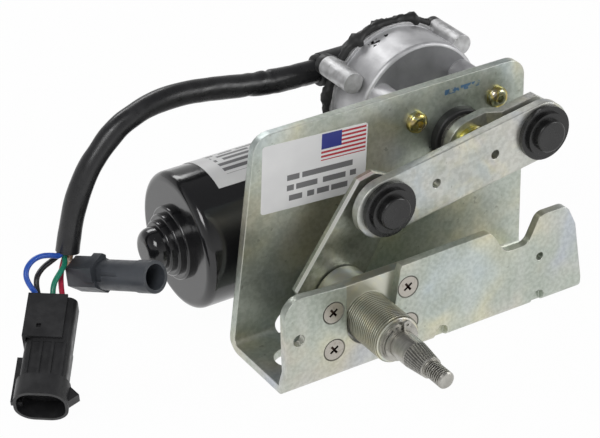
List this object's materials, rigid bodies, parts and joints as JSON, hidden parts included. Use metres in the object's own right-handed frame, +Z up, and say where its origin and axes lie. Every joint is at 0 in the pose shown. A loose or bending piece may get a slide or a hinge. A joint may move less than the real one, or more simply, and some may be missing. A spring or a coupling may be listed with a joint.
{
  "type": "wiper motor",
  "caption": "Windscreen wiper motor with mounting bracket, crank linkage, wiper spindle and wiring harness with two plugs.",
  "frame": {"origin": "wiper spindle axis at the front face of the bracket's front flange", "axes": "-Y points out of the wiper spindle, +X along the motor towards its gearbox, +Z up"},
  "size_m": [0.267, 0.1756, 0.1134],
  "materials": {
    "zinc_sheet": "zinc plated, satin",
    "cast_grey": "die cast, satin",
    "cast_aluminium": "die cast, satin",
    "bronze": "sintered",
    "steel": "ground",
    "yellow_zinc": "yellow passivated zinc",
    "tinned": "tinned",
    "copper": "enamelled",
    "sticker": "printed film",
    "sealant": "cured sealant",
    "black_rubber": "moulded",
    "card": "laminate",
    "ferrite": "sintered",
    "gloss_black": "gloss enamel",
    "black_sheath": "soft vinyl, satin",
    "black_nylon": "moulded nylon",
    "grey_nylon": "moulded nylon",
    "white_nylon": "moulded acetal",
    "wire_blue": "vinyl",
    "wire_black": "vinyl",
    "wire_green": "vinyl",
    "wire_red": "vinyl",
    "wire_tan": "vinyl"
  },
  "bodies": {
    "frame": {"bracket": "zinc_sheet", "pivot_housing": "cast_grey", "front_sleeve": "bronze", "rear_sleeve": "bronze", "pivot_screws": "steel", "plate_label": "sticker", "can_label": "sticker", "gear_housing": "cast_aluminium", "gear_cover": "zinc_sheet", "gasket": "sealant", "cover_screws": "steel", "mount_screws": "yellow_zinc", "output_sleeve": "bronze", "shaft_seal": "black_rubber", "grommet": "black_rubber", "contact_card": "card", "contact_fingers": "bronze", "motor_can": "gloss_black", "magnets": "ferrite", "brush_card": "card", "brushes": "ferrite", "brush_springs": "steel", "rear_bearing": "bronze", "front_bearing": "bronze", "can_screws": "steel", "sheath": "black_sheath", "wire_blue": "wire_blue", "wire_black": "wire_black", "wire_green": "wire_green", "wire_red": "wire_red", "wire_tan": "wire_tan", "plug4_body": "black_nylon", "plug4_lock": "black_nylon", "plug4_pins": "tinned", "plug1_body": "grey_nylon", "plug1_lock": "grey_nylon", "plug1_pin": "tinned"},
    "crank": {"output_shaft": "steel", "worm_wheel": "white_nylon", "park_disc": "bronze", "crank_arm": "yellow_zinc", "crank_nut": "yellow_zinc", "thrust_washer": "steel", "crank_pin": "steel"},
    "link": {"link_bar": "zinc_sheet", "crank_bushing": "black_nylon", "lever_bushing": "black_nylon", "link_pin": "steel"},
    "lever": {"spindle": "steel", "lever": "zinc_sheet", "lever_nut": "steel", "lever_stud": "steel", "circlip": "steel", "steel_washer": "steel", "wave_washer": "steel"},
    "armature": {"armature_shaft": "steel", "rotor_core": "ferrite", "windings": "copper", "commutator": "copper"}
  },
  "joints": [
    {"name": "crank_turn", "type": "hinge", "parent": "frame", "child": "crank", "pos_m": [0.074, 0.033, 0.0498], "axis": [0, -1, 0], "range_deg": [0, 182.61]},
    {"name": "link_swing", "type": "hinge", "parent": "crank", "child": "link", "pos_m": [0.10265, 0.019, 0.05429], "axis": [0, -1, 0], "range_deg": [-180.02, 0]},
    {"name": "spindle_swing", "type": "hinge", "parent": "frame", "child": "lever", "pos_m": [0, 0, 0], "axis": [0, -1, 0], "range_deg": [0, 78.91]},
    {"name": "armature_spin", "type": "hinge", "parent": "frame", "child": "armature", "pos_m": [0, 0.084, 0.0136], "axis": [1, 0, 0], "range_deg": [0, 8766.3]}
  ],
  "couplings": [
    {"joint": "link_swing", "follows": "crank_turn", "ratio": -0.98571},
    {"joint": "spindle_swing", "follows": "crank_turn", "ratio": 0.432},
    {"joint": "armature_spin", "follows": "crank_turn", "ratio": 48}
  ]
}
